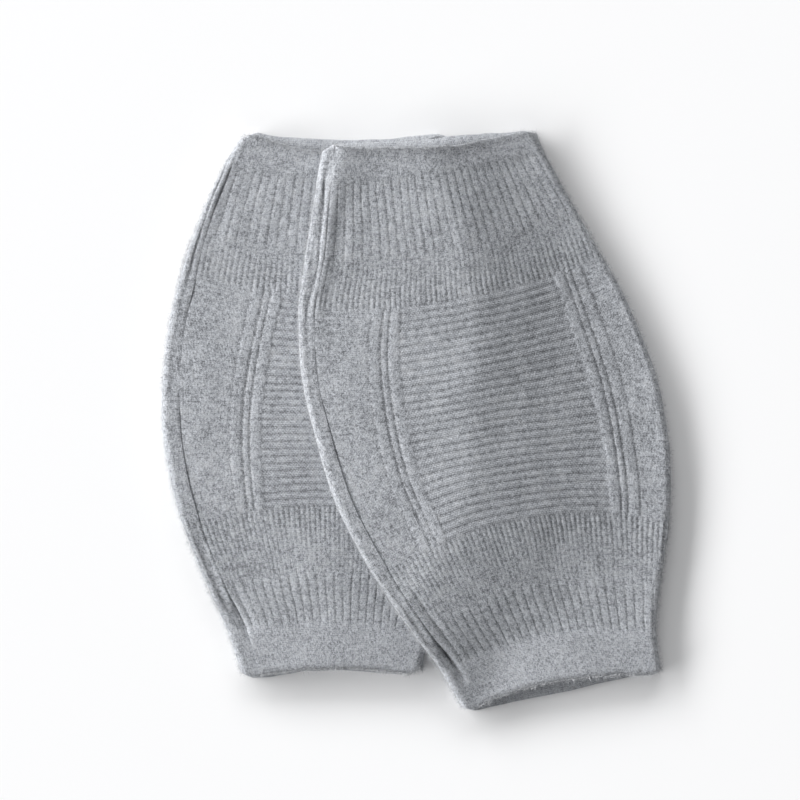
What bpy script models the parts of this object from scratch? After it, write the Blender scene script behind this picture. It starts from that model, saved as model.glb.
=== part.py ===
"""A pair of knitted knee warmers, laid flat on a table, the right one partly on the left one.

Each warmer is a barrel-shaped tube of thick knitted cloth, made as a front and a back that are joined
along two side seams. From top to bottom the front has a plain hem, a wide-ribbed cuff, a fine-ribbed
yoke, the knee (a panel of cross ridges between two frames of upright ribs, with plain sides), a second
fine-ribbed yoke, a second cuff and a second hem. The tube was turned a little as it was laid, so the
left seam shows on top, some millimetres in from the left fold, and the right seam lies underneath.

A point of the cloth is given by its course, the distance down the garment from the top hem's edge, and
by its arc, the distance round the tube from the left fold: up over the fold, across the top, round the
right fold and back underneath. All sizes are millimetres until place() turns them into metres.
"""

import math
from collections import namedtuple

import bmesh
import bpy
from mathutils import Vector

METRES_PER_MM = 0.001

# The cloth.
WALL = 2.2  # from the plain inside to the bottom of the grooves
SEAM_GAP = 0.3  # between the edges of the front and the back
SEAM_BEVEL = 0.35  # each edge draws back by this much on the inside, where a fold brings them closer
FOLD_RADIUS = 3.2  # outer radius of the soft fold at each side
HEM_RELIEF = 0.5  # how far the doubled hem stands out from the grooves
SEAM_DIP = -0.5  # the cloth's edge rolls down into the seam
EDGE_DIP = -0.6  # and rounds off at the hem's edge
RIM = 1.2  # width of either rounded edge

# The knitted bands, from the top hem down: where each ends, how many ribs stand on the front, how high
# the ribs rise above their grooves, and how many rows of points it is built with.
Band = namedtuple("Band", "name end ribs groove crest rows")
BANDS = (
    Band("top hem", 17.0, 0, HEM_RELIEF, HEM_RELIEF, 3),
    Band("top cuff", 55.0, 31, 0.0, 0.9, 4),
    Band("top yoke", 82.0, 60, 0.05, 0.45, 3),
    Band("knee", 192.0, 0, 0.3, 0.3, 12),
    Band("lower yoke", 226.0, 60, 0.05, 0.45, 3),
    Band("lower cuff", 253.0, 28, 0.0, 0.9, 3),
    Band("lower hem", 277.0, 0, HEM_RELIEF, HEM_RELIEF, 3),
)
BAND_STEP = 0.9  # the short slope between one band and the next
LENGTH = BANDS[-1].end

# The knee of the front, in shares of the front's width. Its plain sides are given at the knee's top,
# middle and end, for the warmer that lies on the left and for the one on the right.
Sides = namedtuple("Sides", "left right")
LEFT_SIDES = Sides((0.165, 0.145, 0.118), (0.145, 0.16, 0.158))
RIGHT_SIDES = Sides((0.176, 0.126, 0.114), (0.145, 0.16, 0.158))
FRAME_SHARE = 0.092  # the upright ribs beside the ridged panel
FRAME_RIBS = 3
FRAME_CREST = 0.95
BACK_RIB_SHARE = 0.12  # the ribs that the back shows on its fold, as a share of the front's
RIDGES = 29
RIDGE_CREST = 0.85
PANEL_COLUMNS = 9

# The mesh: rows of the plain inside, and columns round a fold and over the top of a plain stretch.
INSIDE_ROWS = 22
FOLD_COLUMNS = 6
TOP_COLUMNS = 11

# How each warmer lies, in the plan seen from above: for a few courses, where the left and the right
# fold are, how far the middle of the course bows towards the lower hem on the top layer and on the
# layer underneath, how far up and over the left fold the seam lies, and how far the top layer puffs up.
Lie = namedtuple("Lie", "course left_x left_y right_x right_y bow bow_under seam puff")
LEFT_LIES = (
    Lie(0.0, -86.0, 145.5, 13.5, 145.5, 8.0, 4.0, 2.5, 1.0),
    Lie(17.0, -98.5, 126.5, 24.0, 127.0, 6.0, 4.5, 5.5, 0.9),
    Lie(55.0, -113.5, 93.0, 39.5, 93.0, 9.5, 9.5, 8.0, 1.1),
    Lie(82.0, -119.5, 75.0, 43.5, 75.0, 13.5, 13.5, 9.5, 1.3),
    Lie(109.5, -126.5, 43.0, 46.5, 43.0, 8.0, 8.0, 10.0, 1.4),
    Lie(137.0, -129.0, 10.5, 45.0, 10.5, 2.0, 2.0, 10.5, 1.4),
    Lie(164.5, -126.5, -21.0, 42.5, -21.0, -4.0, -4.0, 10.5, 1.4),
    Lie(192.0, -119.0, -52.0, 34.5, -52.0, -9.5, -9.5, 10.5, 1.3),
    Lie(226.0, -106.5, -84.0, 17.5, -83.0, -7.0, -7.0, 10.5, 1.1),
    Lie(253.0, -96.0, -106.5, 5.0, -106.5, -5.0, -3.5, 11.0, 1.0),
    Lie(277.0, -88.5, -130.0, -0.5, -128.5, -3.0, 1.5, 10.5, 1.2),
)
RIGHT_LIES = (
    Lie(0.0, -47.0, 138.5, 56.5, 146.5, 5.0, 1.5, 6.5, 1.0),
    Lie(17.0, -51.5, 117.0, 62.0, 133.5, 3.0, 1.5, 9.0, 0.9),
    Lie(55.0, -57.5, 79.5, 79.0, 104.0, 8.0, 8.0, 11.5, 1.1),
    Lie(82.0, -60.5, 55.0, 91.5, 82.0, 9.0, 9.0, 10.0, 1.3),
    Lie(109.5, -59.1, 22.7, 105.9, 54.7, 6.5, 6.5, 9.5, 1.4),
    Lie(137.0, -51.9, -8.5, 118.7, 20.3, 1.0, 1.0, 9.5, 1.4),
    Lie(164.5, -40.7, -44.0, 125.1, -16.8, -8.0, -8.0, 9.5, 1.4),
    Lie(192.0, -22.5, -78.4, 124.9, -51.1, -15.0, -15.0, 9.0, 1.3),
    Lie(226.0, -3.5, -106.5, 120.4, -83.0, -12.5, -12.5, 8.5, 1.1),
    Lie(253.0, 11.5, -127.0, 118.1, -107.0, -8.7, -6.0, 9.0, 1.0),
    Lie(277.0, 23.0, -147.0, 121.0, -128.5, -5.0, 1.0, 9.5, 1.3),
)
CENTRE = (-1.8, -0.3)  # the middle of the laid pair in that plan, which becomes the origin

# The right warmer lies on the left one and comes down to the table beyond its edge.
REST_GAP = 0.35
REST_HEIGHT = 2 * FOLD_RADIUS + max(lie.puff for lie in LEFT_LIES) + FRAME_CREST + REST_GAP
REST_LEAD = 14.0  # how far before that edge the underside starts to come down
REST_FALL = 64.0  # and over what distance
TOP_LEAD = 20.0  # where the top layer starts
TOP_POWER = 0.75  # below 1, it comes down more steeply early on
HEM_START = 200.0  # from here on the warmer comes down sooner, over these distances at its lower hem
HEM_REST_FALL = 40.0
HEM_TOP_FALL = 60.0
FOLD_BULGE = 2.0  # the thick left fold stands up this much near the top hem
BULGE_RISE = 4.0  # how far in from the fold the bulge has risen
BULGE_WIDTH = 16.0  # and how wide it is
BULGE_LASTS = 45.0  # its full height lasts to this course
BULGE_FADE = 75.0  # and it is gone this far below it

# A warmer: its lies, the plain sides of its knee, how many columns its inside and its underside need, and
# the one it lies on.
Warmer = namedtuple("Warmer", "lies sides columns rests_on")
LEFT_WARMER = Warmer(LEFT_LIES, LEFT_SIDES, 7, None)
RIGHT_WARMER = Warmer(RIGHT_LIES, RIGHT_SIDES, 16, LEFT_WARMER)

KNIT_GREY = (0.40, 0.41, 0.43, 1.0)
KNIT_ROUGHNESS = 0.95


def between(warmer, course, column):
    """A value of the warmer's lie at any course, on a smooth curve through the rows of its table."""
    table = warmer.lies
    courses = [row.course for row in table]
    values = [getattr(row, column) for row in table]
    last = len(table) - 1
    slopes = []
    for k in range(last + 1):
        before, after = max(k - 1, 0), min(k + 1, last)
        slopes.append((values[after] - values[before]) / (courses[after] - courses[before]))
    k = max(i for i in range(last) if courses[i] <= max(course, 0.0))
    step = courses[k + 1] - courses[k]
    t = (course - courses[k]) / step
    return (
        (1 + 2 * t) * (1 - t) ** 2 * values[k]
        + t * (1 - t) ** 2 * step * slopes[k]
        + t * t * (3 - 2 * t) * values[k + 1]
        - t * t * (1 - t) * step * slopes[k + 1]
    )


def eased(t):
    """0 to 1, level at both ends."""
    t = min(max(t, 0.0), 1.0)
    return t * t * (3 - 2 * t)


def folds(warmer, course):
    """The places of the left and the right fold at a course, in the plan."""
    left = Vector((between(warmer, course, "left_x"), between(warmer, course, "left_y")))
    right = Vector((between(warmer, course, "right_x"), between(warmer, course, "right_y")))
    return left, right


def half_round(warmer, course):
    """The arc from the left fold over the top to the right fold."""
    left, right = folds(warmer, course)
    return (right - left).length + (math.pi - 2) * FOLD_RADIUS


def section(arc, width, puff, bulge=0.0):
    """Across and up, for an arc round one section of the laid tube: a flat run and half a circle, twice."""
    flat = width - 2 * FOLD_RADIUS
    quarter = FOLD_RADIUS * math.pi / 2
    half = flat + 2 * quarter
    arc = arc % (2 * half)
    under = arc > half
    run = min(max((arc - half if under else arc) - quarter, 0.0), flat)
    turn = ((arc - half if under else arc) - run) / FOLD_RADIUS
    across = run - flat / 2 - FOLD_RADIUS * math.cos(turn)
    rise = FOLD_RADIUS * math.sin(turn)
    if under:
        return -across, FOLD_RADIUS - rise
    bulge *= (1 - math.exp(-((run / BULGE_RISE) ** 2))) * math.exp(-((run / BULGE_WIDTH) ** 2))
    return across, FOLD_RADIUS + rise + puff * math.sin(math.pi * run / flat) ** 2 + bulge


def resting_heights(warmer, course, place):
    """How high the underside and the top layer lie over a place in the plan.

    Both lie on the other warmer and come down to 0 past its edge. The top layer starts sooner.
    """
    if warmer.rests_on is None:
        return 0.0, 0.0
    highest, lowest = warmer.rests_on.lies[0], warmer.rests_on.lies[-1]
    fall = highest.right_y - lowest.right_y
    beside = LENGTH / 2
    for _ in range(4):
        edge = folds(warmer.rests_on, beside)[1]
        beside = min(max(beside + (edge.y - place.y) / fall * LENGTH, 0.0), LENGTH)
    past, beyond = place.x - edge.x, max(lowest.right_y - place.y, 0.0)
    near_hem = eased((course - HEM_START) / (LENGTH - HEM_START))
    rest_fall = REST_FALL + (HEM_REST_FALL - REST_FALL) * near_hem
    reach = max(between(warmer, course, "right_x") - FOLD_RADIUS - edge.x, REST_FALL - REST_LEAD)
    top_fall = TOP_LEAD + reach + (HEM_TOP_FALL - TOP_LEAD - reach) * near_hem
    below = math.hypot(max(past + REST_LEAD, 0.0), beyond) / rest_fall
    above = math.hypot(max(past + TOP_LEAD, 0.0), beyond) / top_fall
    return REST_HEIGHT * (1 - eased(below)), REST_HEIGHT * (1 - eased(above**TOP_POWER))


def on_surface(warmer, course, arc):
    """The point of the outer surface, without ribs, at a course and an arc."""
    left, right = folds(warmer, course)
    width = (right - left).length
    bulge = 0.0
    if warmer.rests_on is not None:
        bulge = FOLD_BULGE * (1 - eased((course - BULGE_LASTS) / BULGE_FADE))
    across, up = section(arc, width, between(warmer, course, "puff"), bulge)
    under = arc % (2 * half_round(warmer, course)) > half_round(warmer, course)
    bow = between(warmer, course, "bow_under" if under else "bow")
    along = (right - left) / width
    down = Vector((along.y, -along.x))
    share = 2 * across / width
    place = (left + right) / 2 + along * across + down * bow * (1 - share * share)
    below, above = resting_heights(warmer, course, place)
    layer = 0.0 if under else min(max(up / FOLD_RADIUS - 1, 0.0), 1.0)
    return Vector((place.x, place.y, up + below + (above - below) * layer))


def raised(warmer, course, arc, height):
    """The same point moved outwards by a height, or inwards by a negative one.

    Nothing stands out underneath.
    """
    nudge = 0.05
    left, right = folds(warmer, course)
    above_rest = section(arc, (right - left).length, 0.0)[1] / FOLD_RADIUS
    height = min(height, height * above_rest) if height > 0 else height
    point = on_surface(warmer, course, arc)
    round_it = on_surface(warmer, course, arc + nudge) - on_surface(warmer, course, arc - nudge)
    low, high = max(course - nudge, 0.0), min(course + nudge, LENGTH)
    down_it = on_surface(warmer, high, arc) - on_surface(warmer, low, arc)
    outward = down_it.cross(round_it).normalized()
    return point + outward * height


def side_share(shares, course):
    """The share of the front's width that is plain beside the frame, at a course of the knee."""
    top, middle, end = shares
    t = (course - BANDS[2].end) / (BANDS[3].end - BANDS[2].end)
    return top * (1 - t) * (1 - 2 * t) + middle * 4 * t * (1 - t) + end * t * (2 * t - 1)


class Panel:
    """One piece of cloth from seam to seam, the front or the back, as a closed wall."""

    def __init__(self, warmer, is_front):
        self.warmer = warmer
        self.is_front = is_front
        self.mesh = bmesh.new()

    def arc(self, course, share):
        """The arc at a share of the way across the panel, from its first seam to its second."""
        half = half_round(self.warmer, course)
        start = between(self.warmer, course, "seam") + (0 if self.is_front else half)
        return start + SEAM_GAP / 2 + share * (half - SEAM_GAP)

    def vertex(self, course, share, height):
        point = raised(self.warmer, course, self.arc(course, share), height)
        place = Vector((point.x - CENTRE[0], point.y - CENTRE[1], point.z)) * METRES_PER_MM
        return self.mesh.verts.new(place)

    def share_at(self, course, distance):
        """The share of the way across for a distance from the first seam, or from the second if negative."""
        share = distance / half_round(self.warmer, course)
        return share if distance >= 0 else 1 + share

    def patch(self, courses, columns):
        """A grid of points and its faces.

        columns(course) lists the share and the height of each point in a row.
        """
        rows = [[self.vertex(c, share, high) for share, high in columns(c)] for c in courses]
        for upper, lower in zip(rows, rows[1:]):
            for k in range(len(upper) - 1):
                self.mesh.faces.new((upper[k], upper[k + 1], lower[k + 1], lower[k]))
        return rows

    def stitch(self, first, second):
        """Joins two runs of points with triangles, always along the shorter diagonal."""
        i = j = 0
        while i < len(first) - 1 or j < len(second) - 1:
            can_first, can_second = i < len(first) - 1, j < len(second) - 1
            if can_first and can_second:
                along_first = (first[i + 1].co - second[j].co).length
                step_first = along_first < (first[i].co - second[j + 1].co).length
            else:
                step_first = can_first
            if step_first:
                self.mesh.faces.new((first[i], first[i + 1], second[j]))
                i += 1
            else:
                self.mesh.faces.new((first[i], second[j + 1], second[j]))
                j += 1

    def fold_shares(self, course):
        """Columns that follow the fold round, just before the second seam."""
        seam = between(self.warmer, course, "seam")
        quarter = FOLD_RADIUS * math.pi / 2
        far, near = seam + quarter, max(seam - quarter, 2 * RIM)
        steps = range(FOLD_COLUMNS, -1, -1)
        return [self.share_at(course, (near - far) * k / FOLD_COLUMNS - near) for k in steps]

    def plain_columns(self, height):
        """Columns of a plain stretch of the outside: even over the flat, then close round the fold."""
        spread = TOP_COLUMNS if self.is_front else self.warmer.columns

        def columns(course):
            bends = self.fold_shares(course)
            places = [self.share_at(course, RIM)]
            places += [bends[0] * k / spread for k in range(1, spread)]
            places += bends + [self.share_at(course, -RIM)]
            return [(0.0, SEAM_DIP)] + [(share, height) for share in places] + [(1.0, SEAM_DIP)]

        return columns

    def inner_columns(self, course):
        """Columns of the plain inside."""
        bends = self.fold_shares(course)
        spread = self.warmer.columns
        places = [self.share_at(course, SEAM_BEVEL)] + [bends[0] * k / spread for k in range(1, spread)]
        places += bends + [self.share_at(course, -SEAM_BEVEL)]
        return [(share, -WALL) for share in places]

    def ribbed_columns(self, band):
        """Columns on the crest and in the groove of every rib: all over the front, and on the back's fold."""

        def columns(course):
            fold = 0.0 if self.is_front else self.fold_shares(course)[0]
            count = 2 * (band.ribs if self.is_front else round(band.ribs * BACK_RIB_SHARE))
            plain = 0 if self.is_front else self.warmer.columns
            found = [(0.0, SEAM_DIP)] + [(fold * k / plain, 0.0) for k in range(1, plain)]
            for k in range(1 if self.is_front else 0, count):
                found.append((fold + (1 - fold) * k / count, band.crest if k % 2 else band.groove))
            return found + [(1.0, SEAM_DIP)]

        return columns

    def knee(self, courses):
        """The knee of the front: plain sides with upright ribs, stitched to the panel of cross ridges."""

        def frame(start, direction):
            step = FRAME_SHARE / (2 * FRAME_RIBS) * direction
            return [(start + step * k, FRAME_CREST if k % 2 else 0.0) for k in range(2 * FRAME_RIBS)]

        plain = BANDS[3].crest
        sides = self.warmer.sides

        def left_side(course):
            side = side_share(sides.left, course)
            found = [(0.0, SEAM_DIP), (self.share_at(course, RIM), plain)]
            found += [(side * k / 4, plain) for k in range(1, 4)]
            return found + frame(side, 1)

        def right_side(course):
            found = frame(1 - side_share(sides.right, course), -1)[::-1]
            found += [(share, plain) for share in self.fold_shares(course)]
            return found + [(self.share_at(course, -RIM), plain), (1.0, SEAM_DIP)]

        def ridged(course):
            left = side_share(sides.left, course) + FRAME_SHARE
            right = 1 - side_share(sides.right, course) - FRAME_SHARE
            k = round((course - courses[0]) / span * 2 * RIDGES)
            height = RIDGE_CREST if k % 2 else 0.0
            last = PANEL_COLUMNS - 1
            return [(left + (right - left) * n / last, height) for n in range(last + 1)]

        span = courses[-1] - courses[0]
        fine = [courses[0] + span * k / (2 * RIDGES) for k in range(2 * RIDGES + 1)]
        left, right = self.patch(courses, left_side), self.patch(courses, right_side)
        middle = self.patch(fine, ridged)
        self.stitch([row[-1] for row in left], [row[0] for row in middle])
        self.stitch([row[-1] for row in middle], [row[0] for row in right])
        top, bottom = (left[k] + middle[k] + right[k] for k in (0, -1))
        return top, bottom, [row[0] for row in left], [row[-1] for row in right]

    def outside(self):
        """The outer surface, band by band. Returns its four edges."""
        start, above, top_edge = 0.0, None, None
        first_seam, second_seam = [], []
        for band in BANDS:
            upper = start + (BAND_STEP / 2 if start else 0.0)
            lower = band.end - (BAND_STEP / 2 if band.end < LENGTH else 0.0)
            courses = [upper + (lower - upper) * k / (band.rows - 1) for k in range(band.rows)]
            if self.is_front and band.name == "knee":
                top, bottom, left, right = self.knee(courses)
            else:
                ribbed = band.ribs > 0
                columns = self.ribbed_columns(band) if ribbed else self.plain_columns(band.crest)
                if start == 0.0:
                    courses.insert(1, RIM)
                if band.end == LENGTH:
                    courses.insert(-1, LENGTH - RIM)

                def rounded(course, columns=columns):
                    at_edge = course in (0.0, LENGTH)
                    return [(share, EDGE_DIP if at_edge else high) for share, high in columns(course)]

                rows = self.patch(courses, rounded)
                top, bottom = rows[0], rows[-1]
                left, right = [row[0] for row in rows], [row[-1] for row in rows]
            if above:
                self.stitch(above, top)
            else:
                top_edge = top
            above, start = bottom, band.end
            first_seam += left
            second_seam += right
        return top_edge, above, first_seam, second_seam

    def inside(self):
        """The plain inner surface. Returns its four edges."""
        courses = [LENGTH * k / (INSIDE_ROWS - 1) for k in range(INSIDE_ROWS)]
        rows = self.patch(courses, self.inner_columns)
        return rows[0], rows[-1], [row[0] for row in rows], [row[-1] for row in rows]

    def solid(self, name, material):
        for outer, inner in zip(self.outside(), self.inside()):
            self.stitch(outer, inner)
        bmesh.ops.recalc_face_normals(self.mesh, faces=self.mesh.faces)
        data = bpy.data.meshes.new(name)
        self.mesh.to_mesh(data)
        self.mesh.free()
        data.shade_smooth()
        data.materials.append(material)
        piece = bpy.data.objects.new(name, data)
        bpy.context.scene.collection.objects.link(piece)
        return piece


def knit(name):
    """Heather grey wool, soft and without any gloss."""
    material = bpy.data.materials.new(name)
    material.use_nodes = True
    shader = material.node_tree.nodes["Principled BSDF"]
    shader.inputs["Base Color"].default_value = KNIT_GREY
    shader.inputs["Roughness"].default_value = KNIT_ROUGHNESS
    shader.inputs["Metallic"].default_value = 0.0
    return material


def build():
    for old in list(bpy.data.objects):
        bpy.data.objects.remove(old)
    for side, warmer in (("left", LEFT_WARMER), ("right", RIGHT_WARMER)):
        for face in ("front", "back"):
            name = f"{side}_{face}"
            Panel(warmer, face == "front").solid(name, knit(name + "_knit"))


build()
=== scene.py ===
# %% [markdown]
# # A pair of knitted knee warmers
#
# Two soft tubes of thick heather grey knitwear lie flat on a white table, the right one partly on the
# left one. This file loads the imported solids, which say where the cloth is, and makes the looks: the
# real cloth surface with its ribs, ridges, folds and nap, the yarn, and the studio around it.

import math
from collections import namedtuple

import bmesh
import bpy
import numpy as np
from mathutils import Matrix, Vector


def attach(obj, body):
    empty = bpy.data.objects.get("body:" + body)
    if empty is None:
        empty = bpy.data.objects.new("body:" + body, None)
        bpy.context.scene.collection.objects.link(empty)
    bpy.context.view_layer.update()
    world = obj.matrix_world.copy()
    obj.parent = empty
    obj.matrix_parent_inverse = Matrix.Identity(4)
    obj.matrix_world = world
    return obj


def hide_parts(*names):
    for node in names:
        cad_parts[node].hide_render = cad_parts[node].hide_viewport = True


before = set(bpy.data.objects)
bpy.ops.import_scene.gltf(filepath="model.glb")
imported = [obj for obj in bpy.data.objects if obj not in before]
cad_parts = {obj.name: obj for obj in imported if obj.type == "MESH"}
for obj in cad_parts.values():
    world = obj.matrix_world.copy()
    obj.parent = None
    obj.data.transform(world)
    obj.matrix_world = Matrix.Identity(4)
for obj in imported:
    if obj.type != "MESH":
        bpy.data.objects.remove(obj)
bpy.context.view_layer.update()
MM = 0.001  # the cloth's own sizes are in millimetres, and the scene is in metres
print("solids:", sorted(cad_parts))

# %% [markdown]
# ## The camera
#
# The picture looks straight down on the table. A real photographer would stand well back with a long
# lens, so that the raised middle of the cloth isn't magnified much more than its hems. The lens is
# worked out from the width of table that the picture shows, at the height of the cloth.

# %% Camera
PICTURE_WIDTH = 0.400  # how much of the table the picture shows, side to side
CAMERA_HEIGHT = 1.6
CLOTH_HEIGHT = 0.008
PICTURE_CENTRE = (-0.0082, 0.0103)

camera = bpy.data.objects.new("camera", bpy.data.cameras.new("camera"))
bpy.context.scene.collection.objects.link(camera)
bpy.context.scene.camera = camera
camera.location = (*PICTURE_CENTRE, CAMERA_HEIGHT)
camera.data.lens = camera.data.sensor_width * (CAMERA_HEIGHT - CLOTH_HEIGHT) / PICTURE_WIDTH
print("lens", round(camera.data.lens), "mm")

# %% [markdown]
# ## How each warmer lies
#
# A point of the cloth is named by its course, the distance down the garment from the top hem's edge, and
# its arc, the distance round the tube from the left fold. A short table says where the folds are at a
# few courses, and a smooth curve runs through its rows. A simulation could drop the tubes on the table,
# but the table of folds keeps the outline that the picture shows.

# %% Tables of the lie
FOLD_RADIUS = 3.2  # the outer radius of the soft fold at each side
WALL = 2.2  # the cloth's thickness
LENGTH = 277.0  # from hem to hem
CENTRE = (-1.8, -0.3)  # the middle of the laid pair in the plan, which is the frame's origin

Lie = namedtuple("Lie", "course left_x left_y right_x right_y bow bow_under seam puff")
LEFT_LIES = (
    Lie(0.0, -86.0, 145.5, 13.5, 145.5, 8.0, 4.0, 2.5, 1.0),
    Lie(17.0, -98.5, 126.5, 24.0, 127.0, 6.0, 4.5, 5.5, 0.9),
    Lie(55.0, -113.5, 93.0, 39.5, 93.0, 9.5, 9.5, 8.0, 1.1),
    Lie(82.0, -119.5, 75.0, 43.5, 75.0, 13.5, 13.5, 9.5, 1.3),
    Lie(109.5, -126.5, 43.0, 46.5, 43.0, 8.0, 8.0, 10.0, 1.4),
    Lie(137.0, -129.0, 10.5, 45.0, 10.5, 2.0, 2.0, 10.5, 1.4),
    Lie(164.5, -126.5, -21.0, 42.5, -21.0, -4.0, -4.0, 10.5, 1.4),
    Lie(192.0, -119.0, -52.0, 34.5, -52.0, -9.5, -9.5, 10.5, 1.3),
    Lie(226.0, -106.5, -84.0, 17.5, -83.0, -7.0, -7.0, 10.5, 1.1),
    Lie(253.0, -96.0, -106.5, 5.0, -106.5, -5.0, -3.5, 11.0, 1.0),
    Lie(277.0, -88.5, -130.0, -0.5, -128.5, -3.0, 1.5, 10.5, 1.2),
)
RIGHT_LIES = (
    Lie(0.0, -47.0, 138.5, 56.5, 146.5, 5.0, 1.5, 6.5, 1.0),
    Lie(17.0, -51.5, 117.0, 62.0, 133.5, 3.0, 1.5, 9.0, 0.9),
    Lie(55.0, -57.5, 79.5, 79.0, 104.0, 8.0, 8.0, 11.5, 1.1),
    Lie(82.0, -60.5, 55.0, 91.5, 82.0, 9.0, 9.0, 10.0, 1.3),
    Lie(109.5, -59.1, 22.7, 105.9, 54.7, 6.5, 6.5, 9.5, 1.4),
    Lie(137.0, -51.9, -8.5, 118.7, 20.3, 1.0, 1.0, 9.5, 1.4),
    Lie(164.5, -40.7, -44.0, 125.1, -16.8, -8.0, -8.0, 9.5, 1.4),
    Lie(192.0, -22.5, -78.4, 124.9, -51.1, -15.0, -15.0, 9.0, 1.3),
    Lie(226.0, -3.5, -106.5, 120.4, -83.0, -12.5, -12.5, 8.5, 1.1),
    Lie(253.0, 11.5, -127.0, 118.1, -107.0, -8.7, -6.0, 9.0, 1.0),
    Lie(277.0, 23.0, -147.0, 121.0, -128.5, -5.0, 1.0, 9.5, 1.3),
)
LIES = {"left": LEFT_LIES, "right": RIGHT_LIES}

# The right warmer lies on the left one and comes down to the table beyond its edge.
REST_HEIGHT = 9.1  # clears the left tube with its puff and its relief
REST_LEAD, REST_FALL = 14.0, 64.0  # the underside starts this far before the edge, and takes this far
TOP_LEAD, TOP_POWER = 20.0, 0.75  # the top layer starts sooner, and comes down more steeply early on
HEM_START, HEM_REST_FALL, HEM_TOP_FALL = 200.0, 40.0, 60.0  # near the lower hem both come down sooner
FOLD_BULGE, BULGE_RISE, BULGE_WIDTH = 2.0, 4.0, 16.0  # the thick left fold stands up near the top hem
BULGE_LASTS, BULGE_FADE = 45.0, 75.0  # in full to this course, and it is gone this far below it
EDGE_STEPS = 4  # rounds of looking for the left warmer's edge beside a place


def smooth(t):
    """0 to 1, level at both ends."""
    t = np.clip(t, 0.0, 1.0)
    return t * t * (3 - 2 * t)


def between(lies, course, column):
    """A column's value at each course, on a smooth curve through the rows."""
    at = np.array([row.course for row in lies])
    values = np.array([getattr(row, column) for row in lies])
    before = np.maximum(np.arange(len(at)) - 1, 0)
    after = np.minimum(np.arange(len(at)) + 1, len(at) - 1)
    slopes = (values[after] - values[before]) / (at[after] - at[before])
    k = np.clip(np.searchsorted(at, course, side="right") - 1, 0, len(at) - 2)
    step = at[k + 1] - at[k]
    t = (course - at[k]) / step
    start = (1 + 2 * t) * (1 - t) ** 2 * values[k] + t * (1 - t) ** 2 * step * slopes[k]
    return start + t * t * (3 - 2 * t) * values[k + 1] - t * t * (1 - t) * step * slopes[k + 1]


def folds(lies, course):
    """The plan places of the left and the right fold, as arrays of x and y."""
    left = np.stack([between(lies, course, "left_x"), between(lies, course, "left_y")], -1)
    right = np.stack([between(lies, course, "right_x"), between(lies, course, "right_y")], -1)
    return left, right


def half_round(lies, course):
    """The arc from the left fold over the top to the right fold."""
    left, right = folds(lies, course)
    return np.linalg.norm(right - left, axis=-1) + (math.pi - 2) * FOLD_RADIUS


for name, lies in LIES.items():
    print(name, "knee is", round(float(half_round(lies, 137.0))), "mm across,", LENGTH, "mm long")

# %% [markdown]
# ## The bare surface of the cloth
#
# Each course is a flattened loop: a flat run, half a circle round a fold, a flat run back, half a circle
# again. numpy works all points of a grid out at once, which is far quicker than a Python loop. The right
# tube also follows the ground under it: the left tube, then a soft slope, then the table.

# %% Section, ground and surface
def section(arc, width, puff, bulge=0.0):
    """Across and up, for arcs round the laid tube."""
    flat = width - 2 * FOLD_RADIUS
    quarter = FOLD_RADIUS * math.pi / 2
    half = flat + 2 * quarter
    arc = np.mod(arc, 2 * half)
    under = arc > half
    own = np.where(under, arc - half, arc)
    run = np.clip(own - quarter, 0.0, flat)
    turn = (own - run) / FOLD_RADIUS
    across = run - flat / 2 - FOLD_RADIUS * np.cos(turn)
    rise = FOLD_RADIUS * np.sin(turn)
    crown = puff * np.sin(math.pi * run / flat) ** 2
    crown = crown + bulge * (1 - np.exp(-((run / BULGE_RISE) ** 2))) * np.exp(-((run / BULGE_WIDTH) ** 2))
    up = np.where(under, FOLD_RADIUS - rise, FOLD_RADIUS + rise + crown)
    return np.where(under, -across, across), up, under


def ground(plan, course, right_x):
    """How high the right warmer's underside and its top layer lie over places of the plan."""
    top, end = LEFT_LIES[0].right_y, LEFT_LIES[-1].right_y
    beside = np.full(plan.shape[:-1], LENGTH / 2)
    for _ in range(EDGE_STEPS):
        edge = folds(LEFT_LIES, beside)[1]
        beside = np.clip(beside + (edge[..., 1] - plan[..., 1]) / (top - end) * LENGTH, 0.0, LENGTH)
    past, beyond = plan[..., 0] - edge[..., 0], np.maximum(end - plan[..., 1], 0.0)
    near_hem = smooth((course - HEM_START) / (LENGTH - HEM_START))
    rest_fall = REST_FALL + (HEM_REST_FALL - REST_FALL) * near_hem
    reach = np.maximum(right_x - FOLD_RADIUS - edge[..., 0], REST_FALL - REST_LEAD)
    top_fall = TOP_LEAD + reach + (HEM_TOP_FALL - TOP_LEAD - reach) * near_hem
    below = np.hypot(np.maximum(past + REST_LEAD, 0.0), beyond) / rest_fall
    above = np.hypot(np.maximum(past + TOP_LEAD, 0.0), beyond) / top_fall
    return REST_HEIGHT * (1 - smooth(below)), REST_HEIGHT * (1 - smooth(above**TOP_POWER))


def bare(lies, course, arc):
    """Points of the outer surface without any relief."""
    left, right = folds(lies, course)
    width = np.linalg.norm(right - left, axis=-1)
    bulge = FOLD_BULGE * (1 - smooth((course - BULGE_LASTS) / BULGE_FADE)) if lies is RIGHT_LIES else 0.0
    across, up, under = section(arc, width, between(lies, course, "puff"), bulge)
    bow = np.where(under, between(lies, course, "bow_under"), between(lies, course, "bow"))
    along = (right - left) / width[..., None]
    down = np.stack([along[..., 1], -along[..., 0]], -1)
    share = 2 * across / width
    plan = (left + right) / 2 + along * across[..., None] + down * (bow * (1 - share * share))[..., None]
    if lies is RIGHT_LIES:
        below, above = ground(plan, course, between(lies, course, "right_x"))
        layer = np.where(under, 0.0, np.clip(up / FOLD_RADIUS - 1, 0.0, 1.0))
        up = up + below + (above - below) * layer
    return np.concatenate([plan, up[..., None]], -1)


NUDGE = 0.2  # the step, in mm, over which a direction on the surface is measured


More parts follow.
